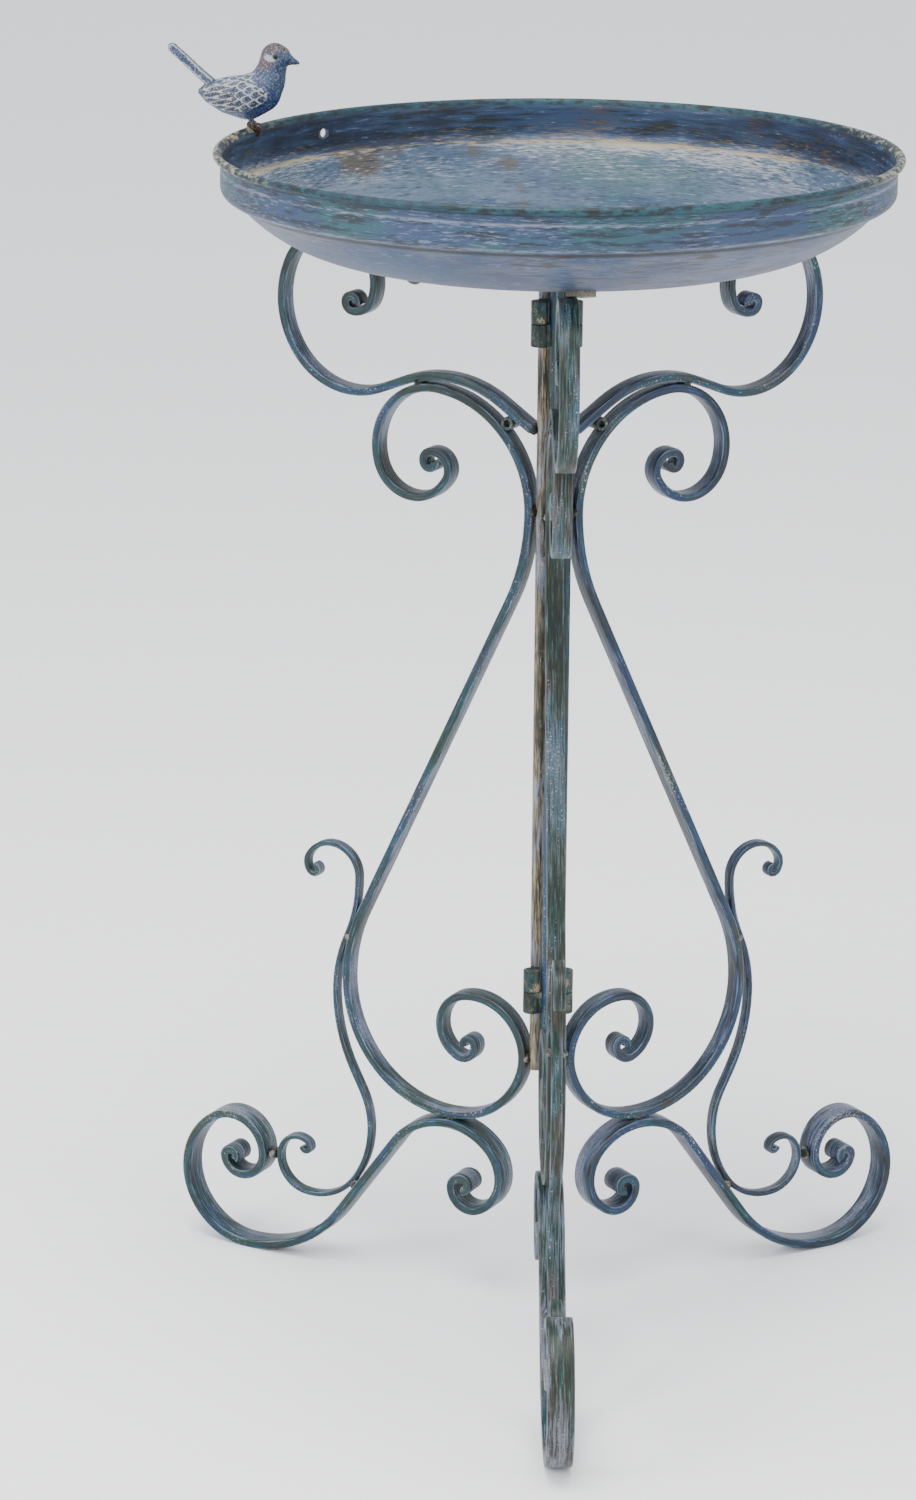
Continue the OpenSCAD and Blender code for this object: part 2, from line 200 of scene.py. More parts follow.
def brushed_paint(net, strokes, patches, fine, tones):
    """Streaks of four paint tones over a dark ground; strokes, patches and fine are coordinates."""
    first, second, third, light = tones
    wide = net.grain(patches, 1.0, 3.0, 0.55)
    other = net.grain(net.stretch(patches, (1, 1, 1), (3.1, 7.7, 1.9)), 1.3, 3.0, 0.55)
    streak = net.grain(strokes, 1.0, 5.0, 0.65)
    thin = net.grain(net.stretch(strokes, (2.1, 2.1, 1.6), (5.3, 1.1, 8.2)), 1.0, 5.0, 0.7)
    colour = net.coats(
        first,
        (second, (wide + streak * 0.5).step(0.70, 0.86)),
        (third, (other + thin * 0.5).step(0.76, 0.90)),
        (OLIVE, (streak * 0.75 + other * 0.45).step(0.60, 0.48) * 0.85),
        (SOOT, (thin * 0.8 + wide * 0.4).step(0.62, 0.51) * 0.9),
        (light, (thin * 0.7 + streak * 0.5).step(0.66, 0.78) * 0.85))
    flakes = net.grain(fine, 1.0, 2.0, 0.5)
    return colour, wide, streak, thin, flakes


def iron_finish(name, tones, pale=0.5, seed=0.0):
    """Distressed paint brushed along a bent bar, rubbed pale on its edges, with a painted highlight
    in patches on its broad faces.
    """
    finish, net = new_finish(name)
    across_x, across_y, _ = net.parts(net.attribute("across", VECTOR))
    half_x, half_y, piece = net.parts(net.attribute("stock", VECTOR))
    along = net.attribute("along", FACTOR)
    place = net.place()
    shift = piece * 3.7 + seed
    lay = net.vector(across_x * 620 + shift, across_y * 620, along * 40 + shift)
    patches = net.vector(across_x * 60 + shift, across_y * 60, along * 15 + shift)
    fine = net.stretch(place, (900, 900, 900))
    colour, wide, streak, thin, flakes = brushed_paint(net, lay, patches, fine, tones)
    corner = (half_x - abs(across_x)).most(half_y - abs(across_y)) * 1000
    rubbed = (corner - streak * 2.2 - wide * 0.8).step(-0.55, -1.35) * thin.step(0.40, 0.56)
    worn = (wide * 0.6 + flakes * 0.35 + thin * 0.3).step(0.70, 0.80)
    # Painted highlight: pale lilac patches on the bar's broad faces, standing in for the top light
    # on the curls' inner faces
    face = (abs(across_y) - half_y).step(-0.0004, -0.0001)
    chips = flakes.step(0.60, 0.68) * (streak * 0.5 + wide * 0.5).step(0.50, 0.58)
    colour = net.coats(
        colour,
        (LILAC, rubbed * pale),
        (CREAM, worn * pale),
        (LILAC, face * (wide * 0.6 + thin * 0.6).step(0.57, 0.70) * pale),
        (CHALK, chips * 0.7))
    height = streak * 0.5 + thin * 0.35 + flakes * 0.35 + worn * 0.2
    close_finish(net, colour, 0.30 + streak * 0.22 + worn * 0.15, height, 0.00035, coat=0.04)
    return finish


def cast_finish(name, first, second, pale, rusty=0.0):
    """Distressed paint on small parts, patterned by their place."""
    finish, net = new_finish(name)
    place = net.place()
    strokes = net.stretch(place, (420, 420, 160))
    patches = net.stretch(place, (110, 110, 90))
    fine = net.stretch(place, (1400, 1400, 1400))
    colour, wide, streak, thin, flakes = brushed_paint(
        net, strokes, patches, fine, (first, second, SEA_GREEN, SKY))
    colour = net.coats(
        colour,
        (CREAM, (wide * 0.7 + flakes * 0.4).step(0.58, 0.70) * pale),
        (RUST, (thin + wide * 0.5).step(0.72, 0.88) * rusty))
    height = streak * 0.4 + flakes * 0.5
    close_finish(net, colour, 0.34 + streak * 0.25, height, 0.0003, coat=0.04)
    return finish


def plain_finish(name, base, spot, roughness):
    """A small moulded part with faint mottling."""
    finish, net = new_finish(name)
    place = net.place()
    mottle = net.grain(place, 600.0, 3.0)
    colour = net.blend(base, spot, mottle.step(0.45, 0.7))
    close_finish(net, colour, mottle * 0.2 + roughness, mottle, 0.00015)
    return finish


# ---- Mesh helpers ----------------------------------------------------------
# Faces that bend less than this are joined, and edges that bend more are eased
FLAT_ANGLE = 1.5
EDGE_ANGLE = 40


def add_piece(name, mesh):
    made = bpy.data.objects.new(name, mesh)
    bpy.context.scene.collection.objects.link(made)
    return made


def baked(source, name):
    """A plain mesh object holding what the source's modifiers make; the source goes."""
    depsgraph = bpy.context.evaluated_depsgraph_get()
    mesh = bpy.data.meshes.new_from_object(source.evaluated_get(depsgraph))
    bpy.data.objects.remove(source)
    mesh.name = name
    return add_piece(name, mesh)


def keep(piece, body, slot, nodes, finish=None):
    """Puts a finished piece on its body and in place of its CAD nodes; the slot is not used."""
    if finish:
        piece.data.materials.clear()
        piece.data.materials.append(finish)
    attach(piece, body)
    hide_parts(*nodes)
    return piece


def smooth(mesh, angle=35):
    for face in mesh.polygons:
        face.use_smooth = True
    mesh.set_sharp_from_angle(angle=math.radians(angle))


def cad_copy(node):
    """A CAD node's shape to work on, with its doubled corners joined."""
    shape = bmesh.new()
    shape.from_mesh(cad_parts[node].data)
    bmesh.ops.remove_doubles(shape, verts=shape.verts, dist=1e-6)
    return shape


def mesh_of(shape, name):
    """The shape as a mesh; the shape goes."""
    mesh = bpy.data.meshes.new(name)
    shape.to_mesh(mesh)
    shape.free()
    return mesh


def store(mesh, name, values):
    """Keeps a number for each corner of a mesh."""
    mesh.attributes.new(name, "FLOAT", "POINT").data.foreach_set("value", values)


def islands(node):
    """Middles of a CAD node's separate solids, from the lowest up."""
    shape = cad_copy(node)
    left, found = set(shape.verts), []
    while left:
        group, edge = [], [left.pop()]
        while edge:
            at = edge.pop()
            group.append(at.co.copy())
            for link in at.link_edges:
                far = link.other_vert(at)
                if far in left:
                    left.remove(far)
                    edge.append(far)
        found.append(np.array(group))
    shape.free()
    middles = [(g.min(0) + g.max(0)) / 2 for g in found]
    return sorted(middles, key=lambda m: (round(m[2], 5), round(m[0], 5)))


def softened(node, name, body, slot, finish, bevel=0.0004):
    """A copy of a CAD node with its edges eased and its round faces smooth."""
    shape = cad_copy(node)
    bmesh.ops.dissolve_limit(shape, angle_limit=math.radians(FLAT_ANGLE),
                             verts=shape.verts, edges=shape.edges)
    made = add_piece(name, mesh_of(shape, name))
    ease = made.modifiers.new("ease", "BEVEL")
    ease.width, ease.segments, ease.limit_method = bevel, 2, "ANGLE"
    ease.angle_limit = math.radians(EDGE_ANGLE)
    made = baked(made, name)
    smooth(made.data)
    return keep(made, body, slot, [node], finish)


# ---- Stand -----------------------------------------------------------------
low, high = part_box("dish")
axis = Vector(((low.x + high.x) / 2, (low.y + high.y) / 2, 0))
# Longest piece of an arc in degrees, and of a straight in millimetres
ARC_STEP = 4.0
STRAIGHT_STEP = 12.0
ROUND_EDGE = 0.9 * MM
ROD_STEPS = 60
# Sets a rod's paint apart from its panel's scrolls
ROD_PATTERN = 30


def heading_vector(degrees):
    return np.array([math.cos(math.radians(degrees)), math.sin(math.radians(degrees))])


def left_of(degrees):
    return heading_vector(degrees + 90)


def follow(heading, bends, start=(0.0, 0.0)):
    """Points and headings along a run of tangent bends: [radius, sweep] or [0, length]."""
    at, run = np.array(start, float), []
    for radius, amount in bends:
        if radius == 0:
            count = max(1, round(abs(amount) / STRAIGHT_STEP))
            run += [(at + heading_vector(heading) * amount * i / count, heading)
                    for i in range(1, count + 1)]
        else:
            side = math.copysign(1, amount)
            centre = at + radius * side * left_of(heading)
            count = max(3, math.ceil(abs(amount) / ARC_STEP))
            turns = [heading + amount * i / count for i in range(1, count + 1)]
            run += [(centre - radius * side * left_of(turn), turn) for turn in turns]
        at, heading = run[-1]
    return run


def bar_line(heading, back, ahead):
    """A whole bar's line from a start point inside it, run backwards and forwards."""
    behind = [(point, turn + 180) for point, turn in reversed(follow(heading + 180, back))]
    return behind + [(np.zeros(2), heading)] + follow(heading, ahead)


# Each bar's thickness and width, and its line
SCROLLS = {
    "foot_scroll": (5.2, 15.0, bar_line(
        180, [[42, 150], [22, 120], [15.5, 90], [11.5, 80], [4.4, 100], [3.7, 130]],
        [[80, -54], [0, 66], [44, 54], [38, 45], [26, 45], [23, 70], [12.5, 110], [6.5, 110],
         [3.8, 170]])),
    "middle_scroll": (5.0, 10.5, bar_line(
        90, [[75, -40], [66, -60], [47, -63], [32.5, -117], [20, -145], [8, -120], [3.7, -190]],
        [[96, 25.5], [0, 224], [122, -26], [64.5, -84], [36.5, -112], [24, -135], [10, -130],
         [5, -110], [3.7, -150]])),
    "dish_scroll": (5.0, 10.5, bar_line(
        33, [], [[0, 23.5], [68, -55], [0, 16], [46, 76], [52, 62], [31, 70], [27, 104], [11.5, 80],
                 [5, 80], [3.6, 190]])),
    "tendril": (3.2, 6.6, bar_line(
        114, [[88, -25], [104, -27], [0, 12], [50, 27], [58, 39], [36, 60], [20, 69], [17, 47],
              [12, 85], [4.5, 60], [2.7, 170]],
        [[88, -25], [18, -150], [9, -60], [4.5, -70], [2.7, -170]])),
}


def seated(part, thickness, line):
    """A bar's line moved to where the front panel's CAD bar is, as reach and height in metres."""
    edges = np.array([point + side * thickness / 2 * left_of(turn)
                      for point, turn in line for side in (-1, 1)])
    low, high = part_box("front_" + part)
    middle = np.array([axis.y - (low.y + high.y) / 2, (low.z + high.z) / 2])
    drawn = (edges.min(0) + edges.max(0)) / 2 * MM
    return [point * MM + middle - drawn for point, _ in line]


def geometry_tree(name, *inputs):
    """A new geometry tree, its net, and the geometry and named inputs given to it."""
    tree = bpy.data.node_groups.new(name, "GeometryNodeTree")
    face = tree.interface
    face.new_socket("Geometry", in_out="OUTPUT", socket_type="NodeSocketGeometry")
    for label, kind in (("Geometry", "Geometry"), *inputs):
        face.new_socket(label, in_out="INPUT", socket_type="NodeSocket" + kind)
    net = Net(tree)
    given = tree.nodes.new("NodeGroupInput")
    return tree, net, [Value(net, socket) for socket in given.outputs[:len(inputs) + 1]]


def bar_tree(round_bar):
    """A geometry tree that sweeps a bar's section along a line of edges."""
    tree, net, given = geometry_tree(
        "round bar" if round_bar else "flat bar",
        ("Thickness", "Float"), ("Width", "Float"), ("Edge radius", "Float"), ("Piece", "Float"),
        ("Flat side", "Vector"), ("Finish", "Material"))
    line, thick, wide, edge, piece, side, finish = given
    if round_bar:
        section = net.node("GeometryNodeCurvePrimitiveCircle", None,
                           {"Resolution": 28, "Radius": wide * 0.5})
    else:
        section = net.node("GeometryNodeCurvePrimitiveQuadrilateral", None,
                           {"Width": wide, "Height": thick})
        section = net.node("GeometryNodeFilletCurve", {"mode": "POLY"},
                           {"Curve": section, "Count": 3, "Radius": edge})
    where = net.node("GeometryNodeInputPosition")
    section = net.node("GeometryNodeStoreNamedAttribute", {"data_type": "FLOAT_VECTOR"},
                       {"Geometry": section, "Name": "across", "Value": where})
    path = net.node("GeometryNodeMeshToCurve", None, {0: line})
    length = net.node("GeometryNodeSplineParameter", None, None, 1)
    path = net.node("GeometryNodeStoreNamedAttribute", {"data_type": "FLOAT"},
                    {"Geometry": path, "Name": "along", "Value": length})
    path = net.node("GeometryNodeSetCurveNormal", {"mode": "FREE"}, {"Curve": path, "Normal": side})
    bar = net.node("GeometryNodeCurveToMesh", None,
                   {"Curve": path, "Profile Curve": section, "Fill Caps": True})
    stock = net.node("ShaderNodeCombineXYZ", None, {0: wide * 0.5, 1: thick * 0.5, 2: piece})
    bar = net.node("GeometryNodeStoreNamedAttribute", {"data_type": "FLOAT_VECTOR"},
                   {"Geometry": bar, "Name": "stock", "Value": stock})
    bar = net.node("GeometryNodeRealizeInstances", None, {0: bar})
    bar = net.node("GeometryNodeSetMaterial", None, {"Geometry": bar, "Material": finish})
    net.node("NodeGroupOutput", None, {0: bar})
    return tree


def fill_inputs(modifier, **values):
    """Sets a geometry tree's named inputs by their identifiers."""
    for item in modifier.node_group.interface.items_tree:
        key = item.name.replace(" ", "_")
        if item.item_type == "SOCKET" and item.in_out == "INPUT" and key in values:
            modifier[item.identifier] = values[key]


def sweep(name, tree, points, thickness, width, flat_side, piece, finish):
    """Runs a bar tree along 3-D points and returns the plain result."""
    mesh = bpy.data.meshes.new(name)
    edges = [(i, i + 1) for i in range(len(points) - 1)]
    mesh.from_pydata([tuple(p) for p in points], edges, [])
    source = add_piece(name + "_line", mesh)
    modifier = source.modifiers.new("bar", "NODES")
    modifier.node_group = tree
    fill_inputs(modifier, Thickness=thickness, Width=width, Edge_radius=ROUND_EDGE,
                Piece=float(piece), Flat_side=tuple(flat_side), Finish=finish)
    made = baked(source, name)
    smooth(made.data, 40)
    return made


TONES = {
    "front": (SEA_GREEN, TEAL, OLIVE, SKY),
    "left": (TEAL, BLUE, SEA_GREEN, SKY),
    "right": (BLUE, TEAL, INDIGO, SKY),
}
finishes = {side: iron_finish("iron " + side, tones, 0.25 if side == "front" else 0.6, i * 11.3)
            for i, (side, tones) in enumerate(TONES.items())}
foot_finishes = {
    side: iron_finish("foot " + side, (tones[0], tones[2], tones[1], SKY), 0.55, i * 5.9 + 2)
    for i, (side, tones) in enumerate(TONES.items())}
rod_finishes = {side: iron_finish("rod " + side, tones, pale, i * 7.1 + 4)
                for i, (side, tones, pale) in enumerate([
                    ("front", (TEAL, SEA_GREEN, BLUE, TURQUOISE), 0.35),
                    ("left", (CREAM, LILAC, OLIVE, CHALK), 0.95),
                    ("right", (TEAL, SEA_GREEN, BLUE, SKY), 0.4)])}
hinge_finish = cast_finish("hinge", SOOT, TEAL, 0.35, 0.15)
swing_finish = cast_finish("swing knuckle", TEAL, SEA_GREEN, 0.85, 0.1)
bead_finish = cast_finish("weld bead", OLIVE, LILAC, 0.95, 0.5)
trim_finish = cast_finish("trim", SOOT, TEAL, 0.6)
flat_bar, round_bar = bar_tree(False), bar_tree(True)
lines = {part: seated(part, thickness, line) for part, (thickness, _, line) in SCROLLS.items()}


def in_panel(azimuth, reach, height):
    turn = math.radians(azimuth)
    return axis + Vector((reach * math.cos(turn), reach * math.sin(turn), height))


piece_number = 0
for side, azimuth in PANELS.items():
    turn = math.radians(azimuth)
    body = side + "_panel"
    flat_side = (-math.sin(turn), math.cos(turn), 0)
    for part, (thickness, width, _) in SCROLLS.items():
        piece_number += 1
        node = f"{side}_{part}"
        finish = (foot_finishes if part == "foot_scroll" else finishes)[side]
        points = [in_panel(azimuth, *point) for point in lines[part]]
        made = sweep(node + "_bar", flat_bar, points, thickness * MM, width * MM, flat_side,
                     piece_number, finish)
        keep(made, body, "iron_foot" if part == "foot_scroll" else "iron_scroll", [node])
    node = side + "_upright"
    low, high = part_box(node)
    middle = (low + high) / 2
    rod = [Vector((middle.x, middle.y, low.z + (high.z - low.z) * i / ROD_STEPS))
           for i in range(ROD_STEPS + 1)]
    made = sweep(node + "_rod", round_bar, rod, high.x - low.x, high.x - low.x, flat_side,
                 piece_number + ROD_PATTERN, rod_finishes[side])
    keep(made, body, "iron_upright", [node])


# ---- Weld beads ------------------------------------------------------------
BEAD_RADIUS = 3.3 * MM
# How much longer a bead is across the bar
BEAD_STRETCH = 1.75


def bead_tree():
    """A geometry tree that puts lumpy beads on points."""
    tree, net, given = geometry_tree(
        "weld beads", ("Radius", "Float"), ("Turn", "Float"), ("Finish", "Material"))
    points, radius, turn, finish = given
    ball = net.node("GeometryNodeMeshIcoSphere", None, {"Radius": radius, "Subdivisions": 4})
    places = net.node("GeometryNodeMeshToPoints", None, {0: points})
    spin = net.vector(0.0, 0.0, turn)
    smallest, largest = (0.80, BEAD_STRETCH, 0.85), (1.02, BEAD_STRETCH * 1.12, 1.08)
    size = net.node("FunctionNodeRandomValue", {"data_type": "FLOAT_VECTOR"},
                    {0: smallest, 1: largest, "Seed": 9})
    beads = net.node("GeometryNodeInstanceOnPoints", None,
                     {"Points": places, "Instance": ball, "Rotation": spin, "Scale": size})
    beads = net.node("GeometryNodeRealizeInstances", None, {0: beads})
    where = net.node("GeometryNodeInputPosition")
    lump = net.node("ShaderNodeTexNoise", None, {"Vector": where, "Scale": 330.0, "Detail": 3.0})
    normal = net.node("GeometryNodeInputNormal")
    push = net.node("ShaderNodeVectorMath", {"operation": "SCALE"},
                    {0: normal, "Scale": (lump - 0.5) * radius})
    beads = net.node("GeometryNodeSetPosition", None, {"Geometry": beads, "Offset": push})
    beads = net.node("GeometryNodeSetMaterial", None, {"Geometry": beads, "Material": finish})
    net.node("NodeGroupOutput", None, {0: beads})
    return tree


beads_tree = bead_tree()
for side, azimuth in PANELS.items():
    node = side + "_weld_beads"
    mesh = bpy.data.meshes.new(node)
    mesh.from_pydata([tuple(m) for m in islands(node)], [], [])
    source = add_piece(node + "_points", mesh)
    modifier = source.modifiers.new("beads", "NODES")
    modifier.node_group = beads_tree
    fill_inputs(modifier, Radius=BEAD_RADIUS, Turn=math.radians(azimuth), Finish=bead_finish)
    made = baked(source, side + "_welds")
    smooth(made.data, 80)
    keep(made, side + "_panel", "weld", [node])
    node = side + "_spacer"
    softened(node, side + "_spacer_tube", side + "_panel", "iron_dark", trim_finish, 0.0003)

for side in ("left", "right"):
    for level in LEVELS:
        hinge = f"{side}_{level}"
        softened(hinge + "_fixed_knuckle", hinge + "_fixed_barrel", "front_panel",
                 "iron_upright", hinge_finish)
        softened(hinge + "_swing_knuckle", hinge + "_swing_barrel", side + "_panel",
                 "iron_upright", swing_finish)
        softened(hinge + "_hinge_pin", hinge + "_pin", "front_panel", "iron_dark", trim_finish,
                 0.0003)


# ---- Dish ------------------------------------------------------------------
SHEET = 1.4
LIP_R = 2.3
BAND = 17.0
BAND_STEPS = 10
LEDGE = 2.0
CORNER_R, CORNER_TURN = 5.0, 85.0
# Flat floor, wide bowl, shoulder, crease, ledge, corner and band
section = follow(0, [[0, 25], [502.7, 11.883], [85, 38.117], [1.5, -45], [0, LEDGE],
                     [CORNER_R, CORNER_TURN]] + [[0, BAND / BAND_STEPS]] * BAND_STEPS)
section = [(np.zeros(2), 0)] + section
low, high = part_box("dish")
LIP_TOP = high.z
DISH_R = (high.x - low.x) / 2
# Height of the middle of the sheet at the flat floor
FLOOR_MIDDLE = low.z + SHEET / 2 * MM
DISH_SPOKES = 288
# Where the rolled lip's section starts and ends in degrees, and its number of points
LIP_FROM, LIP_TO, LIP_POINTS = 158, -132, 26
# Height of the sheet's hand-made waviness, and the reach where it is full
WAVE, WAVE_REACH = 0.2, 170
HOLE_AZIMUTH = 135
HOLE_DROP = 12 * MM
HOLE_R = 2.5 * MM


def dish_outline():
    """The section's points inside and out, with their girth and 1 inside or 0 outside."""
    points = np.array([p for p, _ in section])
    turns = [t for _, t in section]
    girth = np.concatenate([[0], np.cumsum(np.linalg.norm(np.diff(points, axis=0), axis=1))])
    inner = [points[i] + SHEET / 2 * left_of(turns[i]) for i in range(len(points))]
    outer = [points[i] - SHEET / 2 * left_of(turns[i]) for i in range(len(points))]
    top = points[-1]
    centre = np.array([top[0] + LIP_R, top[1]])
    rows = [(p, girth[i], 1.0) for i, p in enumerate(inner) if p[1] < top[1] - 1.2]
    rows += [(centre + LIP_R * heading_vector(a), girth[-1] + 3, 1.0 if a > 90 else 0.0)
             for a in np.linspace(LIP_FROM, LIP_TO, LIP_POINTS)]
    rows += [(p, girth[i], 0.0)
             for i, p in reversed(list(enumerate(outer))) if p[1] < top[1] - LIP_R]
    return rows, girth


def dish_mesh():
    """The dish's sheet turned about its axis, and the girth of the section's points."""
    rows, girth = dish_outline()
    outline = [row for row in rows if row[0][0] > 0.01]
    count = len(outline)
    verts, faces, girths, insides = [], [], [], []
    for k in range(DISH_SPOKES):
        turn = 2 * math.pi * k / DISH_SPOKES
        for (reach, height), along, inside in outline:
            spot = Vector((math.cos(turn) * 1.4, math.sin(turn) * 1.4, reach * 0.01))
            wave = WAVE * noise.noise(spot) * min(1, (reach / WAVE_REACH) ** 4)
            verts.append((axis.x + reach * MM * math.cos(turn),
                          axis.y + reach * MM * math.sin(turn),
                          min(FLOOR_MIDDLE + (height + wave) * MM, LIP_TOP)))
            girths.append(along * MM)
            insides.append(inside)
    for k in range(DISH_SPOKES):
        here, there = k * count, (k + 1) % DISH_SPOKES * count
        faces += [(here + i, here + i + 1, there + i + 1, there + i) for i in range(count - 1)]
    for row, inside in ((0, 1.0), (count - 1, 0.0)):
        height = verts[row][2]
        verts.append((axis.x, axis.y, height))
        girths.append(0.0)
        insides.append(inside)
        hub = len(verts) - 1
        ring = [k * count + row for k in range(DISH_SPOKES)]
        pairs = zip(ring, ring[1:] + ring[:1])
        faces += [(hub, a, b) for a, b in pairs] if row == 0 else [(hub, b, a) for a, b in pairs]
    mesh = bpy.data.meshes.new("dish_sheet")
    mesh.from_pydata(verts, [], faces)
    store(mesh, "girth", girths)
    store(mesh, "inside", insides)
    shape = bmesh.new()
    shape.from_mesh(mesh)
    bmesh.ops.recalc_face_normals(shape, faces=shape.faces)
    shape.to_mesh(mesh)
    shape.free()
    return mesh, girth


def dish_finish(ledge, rim):
    """Paint brushed round the dish, dark on the wall, with painted highlights on the ledge, on the
    band and on its lower corner, and painted shade in the outside crease.
    """
    finish, net = new_finish("dish patina")
    place = net.place()
    girth = net.attribute("girth", FACTOR)
    inside = net.attribute("inside", FACTOR)
    centred = net.stretch(place, (1, 1, 0), (-axis.x, -axis.y, 0))
    way = net.node("ShaderNodeVectorMath", {"operation": "NORMALIZE"}, {0: centred})
    way_x, way_y, _ = net.parts(way)
    reach_x, _, _ = net.parts(centred)
    sides = inside * 5.7
    strokes = net.vector(way_x * 7 + sides, way_y * 7, girth * 380)
    broad = net.vector(way_x * 1.8 + sides, way_y * 1.8, girth * 30)
    hair = net.vector(way_x * 26 + sides, way_y * 26, girth * 1300)
    fine = net.stretch(place, (1300, 1300, 1300))
    stroke = net.grain(strokes, 1.0, 5.0, 0.6, 0.3)
    wide = net.grain(broad, 1.0, 3.0, 0.5, 0.4)
    thin = net.grain(hair, 1.0, 4.0, 0.65)
    cloud = net.grain(net.stretch(place, (14, 14, 14)), 1.0, 4.0, 0.55)
    flakes = net.grain(fine, 1.0, 2.0)

    floor_paint = net.coats(
        tint(88, 106, 130),
        (tint(124, 138, 156), (wide + thin * 0.4).step(0.60, 0.82)),
        (tint(82, 112, 120), (cloud + stroke * 0.3).step(0.66, 0.80) * 0.8),
        (tint(98, 88, 74), (cloud * 0.7 + wide * 0.4).step(0.50, 0.42) * 0.8),
        (tint(48, 58, 72), (thin * 0.7 + stroke * 0.5).step(0.57, 0.46) * 0.75),
        (LILAC, (stroke * 0.6 + thin * 0.7).step(0.70, 0.84) * 0.8))
    wall = net.coats(
        tint(52, 62, 84),
        (tint(76, 94, 122), (wide + stroke * 0.5).step(0.68, 0.86)),
        (tint(48, 52, 50), (stroke * 0.8 + cloud * 0.3).step(0.54, 0.42) * 0.85),
        (tint(98, 74, 54), (cloud * 0.7 + thin * 0.5).step(0.62, 0.74) * 0.7),
        (LILAC, (stroke * 0.6 + thin * 0.6).step(0.68, 0.80) * 0.6))
    lower = net.coats(
        tint(98, 108, 134),
        (tint(132, 140, 158), (wide + thin * 0.4).step(0.60, 0.82)),
        (tint(74, 98, 128), (cloud + stroke * 0.4).step(0.68, 0.82) * 0.8),
        (tint(90, 86, 72), (stroke * 0.8 + cloud * 0.4).step(0.58, 0.48) * 0.8),
        (LILAC, (thin * 0.8 + stroke * 0.4).step(0.66, 0.80) * 0.75))
    outer_band = net.coats(
        tint(84, 100, 130),
        (tint(78, 110, 120), (cloud + stroke * 0.4).step(0.66, 0.80)),
        (tint(56, 60, 62), (stroke * 0.8 + thin * 0.3).step(0.57, 0.46) * 0.8),
        (LILAC, (thin * 0.8 + wide * 0.4).step(0.66, 0.78) * 0.6))

    above = girth.step(ledge, ledge + 0.004)
    wash = (girth + (stroke - 0.5) * 0.03).near(ledge - 0.008, 0.024)
    # Painted highlight: a cream ring on the up-facing ledge inside, where the top light catches it
    ledge_highlight = (girth + (stroke - 0.5) * 0.010).near(ledge, 0.004)
    within = net.coats(
        floor_paint,
        (wall, above),
        (CHALK, wash * (wide * 0.7 + thin * 0.8).step(0.74, 0.92) * 0.75),
        (CREAM, ledge_highlight * (wide * 0.8 + thin * 0.8).step(0.68, 0.88)))
    ragged = girth + (thin - 0.5) * 0.003
    # Painted shade: a dark line in the concave crease outside, under the ledge
    crease_shade = ragged.near(ledge - 0.004, 0.0026)
    # Painted highlight: a thin pale line round the middle of the band outside
    line = ragged.near(rim - 0.0075, 0.0016)
    # Painted highlight: a pale line on the rounded corner at the foot of the band outside
    corner_highlight = ragged.near(ledge + 0.0042, 0.0016)
    without = net.coats(
        lower,
        (outer_band, above),
        (SOOT, crease_shade * 0.8),
        (LILAC, line * (wide * 0.5 + thin * 0.6).step(0.50, 0.64) * 0.8),
        (LILAC, corner_highlight * (thin * 0.7 + stroke * 0.4).step(0.48, 0.62) * 0.7))
    lip = girth.step(rim - 0.0016, rim + 0.0006)
    daub = net.grain(net.stretch(place, (150, 150, 420)), 1.0, 4.0, 0.6)
    ends = abs(reach_x).step(0.145, 0.182)
    lip_paint = net.coats(
        tint(50, 72, 86),
        (tint(62, 98, 108), (wide * 0.6 + daub * 0.6).step(0.56, 0.72)),
        (SOOT, (stroke * 0.3 + daub * 0.7).step(0.52, 0.42) * 0.8),
        (CREAM, ends * (daub * 0.9 + wide * 0.3).step(0.56, 0.72) * 0.85))
    chips = flakes.step(0.66, 0.74) * thin.step(0.48, 0.62)
    colour = net.coats(without, (within, inside), (lip_paint, lip), (CHALK, chips * 0.5))
    height = stroke * 0.35 + thin * 0.45 + flakes * 0.25
    close_finish(net, colour, 0.36 + stroke * 0.22 + thin * 0.1, height, 0.0003, coat=0.03)
    return finish


def drilled(source, centre, direction, radius):
    """The source with a round hole cut through it."""
    drill = bmesh.new()
    matrix = Matrix.Translation(centre) @ direction.to_track_quat("Z", "Y").to_matrix().to_4x4()
    bmesh.ops.create_cone(drill, cap_ends=True, segments=32, radius1=radius, radius2=radius,
                          depth=12 * MM, matrix=matrix)
    cutter = add_piece("drill", mesh_of(drill, "drill"))
    cut = source.modifiers.new("hole", "BOOLEAN")
    cut.object, cut.operation, cut.solver = cutter, "DIFFERENCE", "EXACT"
    made = baked(source, source.name)
    bpy.data.objects.remove(cutter)
    return made


mesh, girth = dish_mesh()
LEDGE_GIRTH = (girth[-1] - BAND - CORNER_R * math.radians(CORNER_TURN) - LEDGE / 2) * MM
RIM_GIRTH = girth[-1] * MM
dish = add_piece("dish_sheet", mesh)
hole_turn = math.radians(HOLE_AZIMUTH)
outward = Vector((math.cos(hole_turn), math.sin(hole_turn), 0))
hole = axis + outward * (DISH_R - 2 * LIP_R * MM) + Vector((0, 0, LIP_TOP - HOLE_DROP))
dish = drilled(dish, hole, outward, HOLE_R)
smooth(dish.data, 50)
keep(dish, "dish_body", "dish_patina", ["dish"], dish_finish(LEDGE_GIRTH, RIM_GIRTH))

